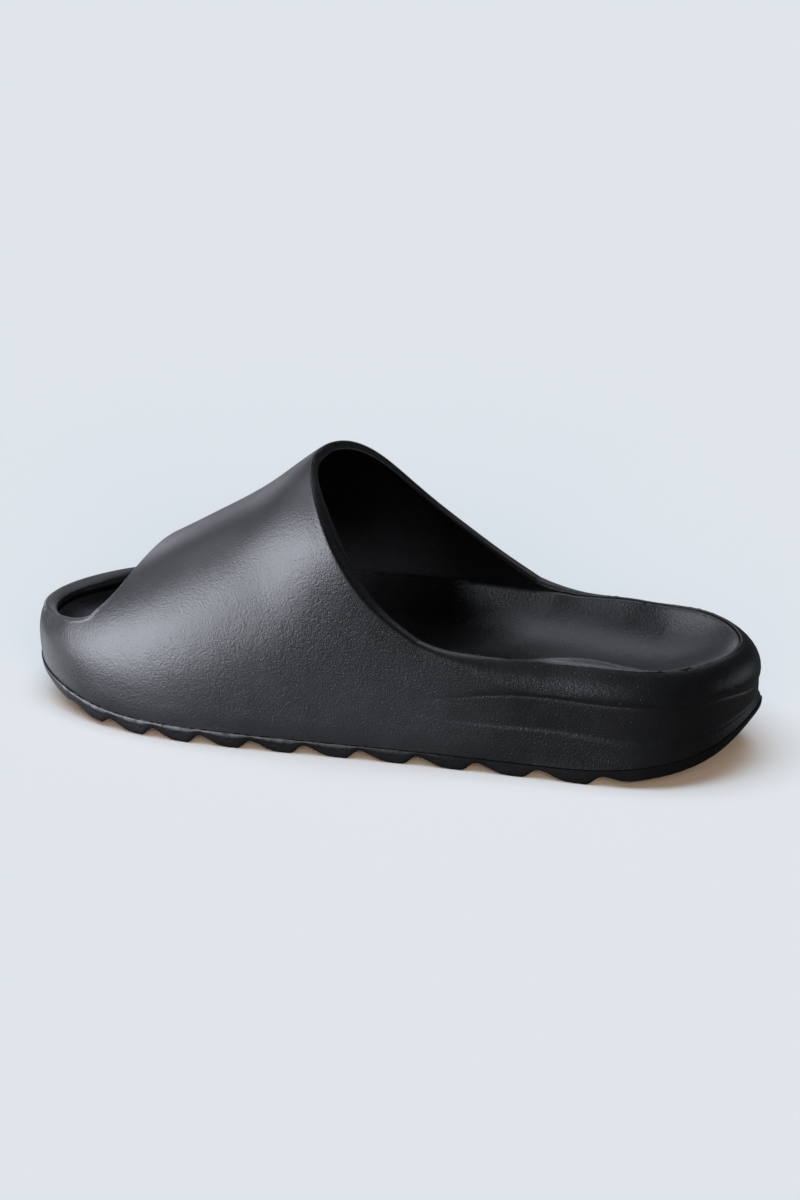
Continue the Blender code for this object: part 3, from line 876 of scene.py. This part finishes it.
def foam(name, colour, roughness, finish, highlight_mark=None, painted_shade_mark=None, polish=0.5, painted_glow=0.0):
    """Matte moulded foam: mottle, a fine grain with pits, pale specks, a painted glow low down and the
    mould's marks, with painted shade in the parting line and a painted highlight on the flash.
    """
    material = bpy.data.materials.new(name)
    material.use_nodes = True
    shader = material.node_tree.nodes["Principled BSDF"]
    paint = Paint(material.node_tree)
    place = paint.node("ShaderNodeTexCoord", output="Object")
    size = finish.grain_size
    shares = {"pits": PIT_SHARE, "specks": finish.speck_share}
    looks = {key: paint.cloud(place, grains * size, *rest) for key, (grains, *rest) in CLOUDS.items()}
    for key, (spacing, radius) in DOTS.items():
        looks[key] = paint.dots(place, spacing * size, radius * size, shares[key])

    tone = blend(looks, SHADE_MIX).ease(*SHADE_EASE)
    shade = paint.mix(tone, opaque(colour, DARKEST), opaque(colour, LIGHTEST))
    shade = paint.mix(SPECK_COVER * looks["specks"], shade, opaque(finish.speck_and_glow_colour))
    # Painted glow: the colour is made paler low on the front half, standing in for light from the floor
    if painted_glow:
        height = paint.node("ShaderNodeSeparateXYZ", None, {"Vector": place}, "Z")
        along = paint.node("ShaderNodeSeparateXYZ", None, {"Vector": place}, "X")
        low = (1 - height.ease(*GLOW_HEIGHTS)) * along.ease(*GLOW_PLACES)
        shade = paint.mix(painted_glow * low * (GLOW_LEAST + looks["grain"]), shade, opaque(finish.speck_and_glow_colour))
    # Painted highlight: the flash's fin is painted pale where light catches it
    if highlight_mark:
        mark = paint.node("ShaderNodeAttribute", {"attribute_name": highlight_mark}, None, "Fac")
        whole = paint.cloud(place, BREAK_GRAINS * size).ease(*BREAK_EASE)
        cover = mark * (BREAK_LEAST + (1 - BREAK_LEAST) * whole)
        shade = paint.mix(cover, shade, opaque(finish.flash_highlight_colour))
    # Painted shade: the parting line's groove is painted darker, where shade falls in it
    if painted_shade_mark:
        mark = paint.node("ShaderNodeAttribute", {"attribute_name": painted_shade_mark}, None, "Fac")
        shade = paint.mix(LINE_COVER * mark, shade, opaque(colour, LINE_SHADE))
    paint.feed(shader.inputs["Base Color"], shade)

    paint.feed(shader.inputs["Roughness"], roughness + ROUGH_START + blend(looks, ROUGH_MIX))
    bump = {"Height": blend(looks, RELIEF_MIX), "Distance": finish.grain_depth, "Strength": 1.0}
    paint.feed(shader.inputs["Normal"], paint.node("ShaderNodeBump", None, bump))
    shader.inputs["Specular IOR Level"].default_value = polish
    return material


# What lengths and shares have in common
LENGTH = {"min": 0, "unit": "LENGTH"}
SHARE = {"min": 0, "max": 1, "subtype": "FACTOR"}


class SlideSizes(bpy.types.PropertyGroup):
    """Sizes of the slide's pieces"""

    seam_gap: FloatProperty(
        name="Seam gap", description="Between pieces that meet", default=0.0003, **LENGTH
    )
    insole_thickness: FloatProperty(
        name="Insole", description="Thickness of the insole", default=0.0035, min=0.001, unit="LENGTH"
    )
    lug_depth: FloatProperty(
        name="Lug depth", description="Depth of the tread's grooves", default=0.0037, **LENGTH
    )
    outsole_lip: FloatProperty(
        name="Outsole lip", description="How far it stands proud of the upper", default=0.0004, **LENGTH
    )
    ledge_step: FloatProperty(
        name="Ledge step", description="How far in the tier between ledges lies", default=0.0006, **LENGTH
    )
    ledge_turn: FloatProperty(
        name="Ledge turn", description="Half height of the turn", default=0.0006, min=0.0001, unit="LENGTH"
    )
    parting_depth: FloatProperty(
        name="Parting line", description="Depth of the line along the rims", default=0.0003, **LENGTH
    )
    flash_height: FloatProperty(
        name="Flash", description="How far the joint's thin flash stands out", default=0.00025, **LENGTH
    )
    wave_length: FloatProperty(
        name="Wave length", description="Length of the slow waves", default=0.022, min=0.001, unit="LENGTH"
    )
    wave_depth: FloatProperty(
        name="Wave depth", description="Height of the slow waves", default=0.00018, **LENGTH
    )


class SlideFinish(bpy.types.PropertyGroup):
    """Colours and grain of the foams"""

    upper_colour: FloatVectorProperty(
        name="Upper", description="Colour of the upper", default=(0.007, 0.007, 0.0073), subtype="COLOR"
    )
    insole_colour: FloatVectorProperty(
        name="Insole", description="Colour of the insole", default=(0.008, 0.008, 0.0083), subtype="COLOR"
    )
    outsole_colour: FloatVectorProperty(
        name="Outsole", description="Colour of the outsole", default=(0.006, 0.006, 0.0062), subtype="COLOR"
    )
    # Painted glow: how much paler the front half is made low down, standing in for light from the floor
    painted_glow: FloatProperty(
        name="Painted_light", description="How much pale dust lies low on the front half", default=0.06, **SHARE
    )
    # Painted highlight: the colour painted on the flash where light catches its fin
    flash_highlight_colour: FloatVectorProperty(
        name="Flash", description="Colour of the joint's flash", default=(0.3, 0.3, 0.3), subtype="COLOR"
    )
    # Colour of the real pale specks, and also of the painted glow low on the front half
    speck_and_glow_colour: FloatVectorProperty(
        name="Specks", description="Colour of the pale specks", default=(0.22, 0.22, 0.23), subtype="COLOR"
    )
    upper_roughness: FloatProperty(
        name="Upper roughness", description="Roughness of the upper", default=0.36, **SHARE
    )
    insole_roughness: FloatProperty(
        name="Insole roughness", description="Roughness of the insole", default=0.28, **SHARE
    )
    outsole_roughness: FloatProperty(
        name="Outsole roughness", description="Roughness of the outsole", default=0.42, **SHARE
    )
    grain_size: FloatProperty(
        name="Grain", description="Size of the foam's grain", default=0.0006, min=0.0001, unit="LENGTH"
    )
    grain_depth: FloatProperty(
        name="Grain depth", description="Depth of the foam's grain", default=0.0001, **LENGTH
    )
    speck_share: FloatProperty(
        name="Specks", description="Share of places with a pale speck", default=0.2, **SHARE
    )


class SlideStage(bpy.types.PropertyGroup):
    """Floor, light and camera"""

    floor_colour: FloatVectorProperty(
        name="Floor", description="Colour of the floor", default=(0.78, 0.80, 0.83), subtype="COLOR"
    )
    dim_colour: FloatVectorProperty(
        name="Surroundings", description="Light all round", default=(0.044, 0.046, 0.05), subtype="COLOR"
    )
    backdrop_colour: FloatVectorProperty(
        name="Backdrop", description="Colour beyond the floor", default=(0.74, 0.78, 0.83), subtype="COLOR"
    )
    glow_colour: FloatVectorProperty(
        name="Floor glow", description="Light from below", default=(0.096, 0.098, 0.1), subtype="COLOR"
    )
    box_tint: FloatVectorProperty(
        name="Soft boxes", description="Colour of the soft boxes", default=(0.87, 0.9, 1.0), subtype="COLOR"
    )
    sky_tint: FloatVectorProperty(
        name="High sun", description="Tint of the high sun", default=(0.75, 0.89, 1.0), subtype="COLOR"
    )
    fill_tint: FloatVectorProperty(
        name="Low sun", description="Tint of the low sun", default=(1.0, 0.71, 0.47), subtype="COLOR"
    )
    swing: FloatProperty(
        name="Swing",
        description="How far the camera stands behind square-on",
        default=math.radians(20),
        unit="ROTATION",
    )
    elevation: FloatProperty(
        name="Elevation", description="Height of the camera", default=math.radians(19), unit="ROTATION"
    )
    distance: FloatProperty(
        name="Distance", description="From the camera to the shoe", default=0.9, min=0.1, unit="LENGTH"
    )
    lens: FloatProperty(name="Lens", description="The camera's lens", default=70.1, min=1, unit="CAMERA")


class SLIDE_OT_upper(bpy.types.Operator):
    """Make the moulded upper with its sides, hood, rims and pocket"""

    bl_idname = "slide.upper"
    bl_label = "Upper"
    bl_options = {"REGISTER", "UNDO"}

    def execute(self, context):
        sizes = context.scene.slide_sizes
        finish = context.scene.slide_finish
        form = Form(sizes)
        ring = upper_ring()
        shell = Shell("skin", "parting")

        heights = form.wall_heights(ring.x, ring.side)
        outer = np.stack([form.wall_point(ring.x, ring.side, height) for height in heights])
        shell.grid(outer, closed=True, skin=1)
        across = np.sin(np.linspace(-1, 1, 2 * ARCH_ROWS + 1) * math.pi / 2)
        runs = np.linspace(0, 1, HOOPS + 1)
        hood = np.stack([form.hoop(across, run, False) for run in runs])
        lining = np.stack([form.hoop(across, run, True) for run in runs])
        shell.grid(hood, skin=1)
        shell.grid(lining)

        wall = sided(THICKNESS, ring.x, ring.side)
        rim = rim_height(ring.x, ring.side)
        level = form.wall_point(ring.x, ring.side, rim, wall)
        top = rim + lift_at(ring.x, ring.side)
        seam = seam_height(ring.x, ring.side)
        shares = np.linspace(0, 1, INNER_ROWS + 1)
        inner = np.stack([form.wall_point(ring.x, ring.side, top + (seam - top) * s, wall) for s in shares])
        shell.grid(inner, closed=True)

        heel = np.arange(-HEEL_COLUMNS, HEEL_COLUMNS + 1)
        toe = np.arange(ring.tip - TOE_COLUMNS, ring.tip + TOE_COLUMNS + 1)
        for columns, run, middle in ((heel, 0, HEEL_COLUMNS), (toe[::-1], -1, TOE_COLUMNS)):
            columns = columns % len(ring.x)
            edge = lining[run][-2:0:-1]
            loops = [
                np.concatenate([low[columns], high])
                for low, high in ((outer[-1], hood[run][-2:0:-1]), (level, edge), (inner[0], edge))
            ]
            past = past_corner(across[-2:0:-1])
            low = RIM_RISE + lift_at(ring.x[columns], ring.side[columns], "rise")
            rises = np.concatenate([low, RIM_RISE + (EDGE_RISE - RIM_RISE) * past])
            over = np.concatenate([np.zeros(len(columns)), past])
            rows, marks = rim_rows(form, *loops, rises, over, middle)
            shell.grid(rows, closed=True, parting=marks)

        pocket = floor_rows(form, ring, 0, form.insole + form.gap, np.linspace(1, 0, HIDDEN_ROWS))
        shell.grid(np.stack([inner[-1], pocket[0]]), closed=True)
        shell.grid(pocket, closed=True)
        shell.grid(ring.sheet(outer[0], joint_height), closed=True)

        shell.weld()
        shell.uneven("skin", sizes.wave_length, sizes.wave_depth)
        # The upper's colour carries painted shade along the parting line
        colour = finish.upper_colour
        roughness = finish.upper_roughness
        # The glow low on the front half is painted light from the floor
        material = foam("upper_foam", colour, roughness, finish, painted_shade_mark="parting", painted_glow=finish.painted_glow)
        piece = shell.finish("slide_upper", material, in_frame(form))
        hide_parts("upper")
        return {"FINISHED"}


class SLIDE_OT_insole(bpy.types.Operator):
    """Make the dished insole that lies in the upper's pocket"""

    bl_idname = "slide.insole"
    bl_label = "Insole"
    bl_options = {"REGISTER", "UNDO"}

    def execute(self, context):
        sizes = context.scene.slide_sizes
        finish = context.scene.slide_finish
        form = Form(sizes)
        ring = upper_ring()
        shell = Shell("skin")
        edge = [
            floor_rows(form, ring, form.gap + inset, drop, [1])[0]
            for inset, drop in zip(*INSOLE_EDGE.values())
        ]
        inset = form.gap + INSOLE_EDGE["inset"][-1]
        top = floor_rows(form, ring, inset, 0, np.linspace(1, 0, FOOTBED_ROWS))
        under = floor_rows(form, ring, form.gap, form.insole, np.linspace(1, 0, HIDDEN_ROWS))
        shell.grid(np.stack([under[0], *edge]), closed=True)
        shell.grid(top, closed=True, skin=1)
        shell.grid(under, closed=True)
        shell.weld()
        shell.uneven("skin", sizes.wave_length, sizes.wave_depth)
        material = foam("insole_foam", finish.insole_colour, finish.insole_roughness, finish)
        piece = shell.finish("slide_insole", material, in_frame(form))
        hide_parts("insole")
        return {"FINISHED"}


class SLIDE_OT_outsole(bpy.types.Operator):
    """Make the lugged outsole with its edge band and the flash along the joint"""

    bl_idname = "slide.outsole"
    bl_label = "Outsole"
    bl_options = {"REGISTER", "UNDO"}

    def execute(self, context):
        sizes = context.scene.slide_sizes
        finish = context.scene.slide_finish
        form = Form(sizes)
        ring = outsole_ring()
        shell = Shell("flash")
        edge, outwards = form.outsole_edge(ring)
        top = form.outsole_top(edge[:, 0])
        tread = form.tread_height(edge[:, 0])
        waves = np.array([noise.noise(Vector((*p, 0)) / RAGGED_LENGTH) for p in edge])
        ragged = RAGGED_MEAN + RAGGED_SWING * waves
        flash = np.clip(sided(FLASH, ring.x, ring.side), 0, 1) * ragged

        band = []
        marks = []
        # The marks are the flash's painted highlight, pale where light catches the fin
        for down, out, mark in zip(*FIN.values()):
            plan = edge + outwards * (form.flash * flash * out)[:, None]
            band.append(np.column_stack([plan, top - down * np.minimum(1, (top - tread) / FULL_FIN)]))
            marks.append(mark * flash)
        room = np.minimum(1, np.hypot(edge[:, 0] - ring.spine, edge[:, 1]) / FULL_INSET)
        for down, inset in zip(*EDGE_BAND.values()):
            plan = ring.inset(edge, room * inset)
            band.append(np.column_stack([plan, top + (tread - top) * down]))
            marks.append(np.zeros(len(edge)))
        band = np.stack(band)
        shell.grid(band, closed=True, flash=np.stack(marks))

        shell.grid(ring.sheet(band[-1], form.tread_height), closed=True)
        shell.grid(ring.sheet(band[0], form.outsole_top), closed=True)
        shell.weld()
        colour = finish.outsole_colour
        roughness = finish.outsole_roughness
        # The outsole's colour carries a painted highlight on the flash
        material = foam("outsole_foam", colour, roughness, finish, highlight_mark="flash", polish=OUTSOLE_POLISH)
        piece = shell.finish("slide_outsole", material, in_frame(form))
        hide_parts("outsole")
        return {"FINISHED"}


def direction(bearing, height):
    """A unit vector at a bearing from the toe's direction round by the inner side, and at a height."""
    flat = math.cos(height)
    return Vector((math.cos(bearing) * flat, math.sin(bearing) * flat, math.sin(height)))


class SLIDE_OT_stage(bpy.types.Operator):
    """Make the floor, the lights and the camera"""

    bl_idname = "slide.stage"
    bl_label = "Stage"
    bl_options = {"REGISTER", "UNDO"}

    def execute(self, context):
        stage = context.scene.slide_stage
        floor = self.floor(stage)
        self.world(stage)
        shoe = self.group("slide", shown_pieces())
        ground = self.group("ground", [floor])
        for name, (bearing, height, far, width, tall, power) in SOFT_BOXES.items():
            lamp = self.lamp(name, "AREA", bearing, height, power, stage.box_tint, shoe)
            lamp.data.shape = "RECTANGLE"
            lamp.data.size = width
            lamp.data.size_y = tall
            lamp.location = Vector(LIT_POINT) + lamp.location * far
        tints = {"floor_sky": stage.sky_tint, "floor_fill": stage.fill_tint}
        for name, (bearing, height, spread, power) in FLOOR_SUNS.items():
            lamp = self.lamp(name, "SUN", bearing, height, power, tints[name], ground)
            lamp.data.angle = math.radians(spread)
        self.camera(stage)
        context.scene.view_settings.view_transform = "Standard"
        return {"FINISHED"}

    def group(self, name, pieces):
        """A collection for lights to be aimed at."""
        group = bpy.data.collections.new(name)
        for piece in pieces:
            group.objects.link(piece)
        return group

    def floor(self, stage):
        """A wide pale floor, whose light on the shoe comes from the surroundings instead."""
        mesh = bpy.data.meshes.new("floor")
        shape = bmesh.new()
        bmesh.ops.create_circle(shape, cap_ends=True, segments=FLOOR_SIDES, radius=FLOOR_RADIUS)
        shape.to_mesh(mesh)
        shape.free()
        material = bpy.data.materials.new("floor")
        material.use_nodes = True
        shader = material.node_tree.nodes["Principled BSDF"]
        shader.inputs["Base Color"].default_value = opaque(stage.floor_colour)
        shader.inputs["Specular IOR Level"].default_value = 0
        mesh.materials.append(material)
        floor = bpy.data.objects.new("floor", mesh)
        floor.visible_diffuse = False
        floor.visible_glossy = False
        bpy.context.scene.collection.objects.link(floor)
        floor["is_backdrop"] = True
        return floor

    def world(self, stage):
        """Dim surroundings with the floor's glow from below, in front of a pale backdrop."""
        world = bpy.data.worlds.new("studio")
        world.use_nodes = True
        bpy.context.scene.world = world
        paint = Paint(world.node_tree)
        place = paint.node("ShaderNodeTexCoord", output="Generated")
        above = paint.node("ShaderNodeSeparateXYZ", None, {"Vector": place}, "Z")
        rise = above.ease(-HORIZON, HORIZON)
        shade = paint.mix(rise, opaque(stage.glow_colour), opaque(stage.dim_colour))
        seen = paint.node("ShaderNodeLightPath", None, None, "Is Camera Ray")
        shade = paint.mix(seen, shade, opaque(stage.backdrop_colour))
        paint.feed(world.node_tree.nodes["Background"].inputs["Color"], shade)

    def lamp(self, name, kind, bearing, height, power, tint, receivers):
        """A light one metre from the frame's origin, which it faces, that lights only the given pieces."""
        light = bpy.data.lights.new(name, kind)
        light.energy = power
        light.color = tint
        lamp = bpy.data.objects.new(name, light)
        back = direction(math.radians(bearing), math.radians(height))
        lamp.location = back
        lamp.rotation_euler = back.to_track_quat("Z", "Y").to_euler()
        lamp.visible_camera = False
        lamp.light_linking.receiver_collection = receivers
        bpy.context.scene.collection.objects.link(lamp)
        return lamp

    def camera(self, stage):
        """The photograph's view: the inner side from behind square-on and above, the toe to the left."""
        back = direction(math.pi / 2 + stage.swing, stage.elevation)
        data = bpy.data.cameras.new("camera")
        data.lens = stage.lens
        camera = bpy.data.objects.new("camera", data)
        camera.location = Vector(AIM) + back * stage.distance
        camera.rotation_euler = back.to_track_quat("Z", "Y").to_euler()
        bpy.context.scene.collection.objects.link(camera)
        bpy.context.scene.camera = camera


class SLIDE_PT_pieces(bpy.types.Panel):
    """Pieces of the slide and its stage"""

    bl_idname = "SLIDE_PT_pieces"
    bl_label = "Moulded slide"
    bl_space_type = "VIEW_3D"
    bl_region_type = "UI"
    bl_category = "Slide"

    def draw(self, context):
        for operator in OPERATORS:
            self.layout.operator(operator.bl_idname)
        for group in GROUPS:
            column = self.layout.column(align=True)
            settings = getattr(context.scene, group)
            for name in settings.bl_rna.properties.keys():
                if name not in ("rna_type", "name"):
                    column.prop(settings, name)


GROUPS = {"slide_sizes": SlideSizes, "slide_finish": SlideFinish, "slide_stage": SlideStage}
OPERATORS = (SLIDE_OT_upper, SLIDE_OT_insole, SLIDE_OT_outsole, SLIDE_OT_stage)
CLASSES = (*GROUPS.values(), *OPERATORS, SLIDE_PT_pieces)


def register():
    for cls in CLASSES:
        bpy.utils.register_class(cls)
    for name, group in GROUPS.items():
        setattr(bpy.types.Scene, name, PointerProperty(type=group))


def unregister():
    for name in GROUPS:
        delattr(bpy.types.Scene, name)
    for cls in reversed(CLASSES):
        bpy.utils.unregister_class(cls)


def main():
    """Register the classes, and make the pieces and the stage."""
    register()
    bpy.ops.slide.upper()
    bpy.ops.slide.insole()
    bpy.ops.slide.outsole()
    bpy.ops.slide.stage()


if __name__ == "__main__":
    main()
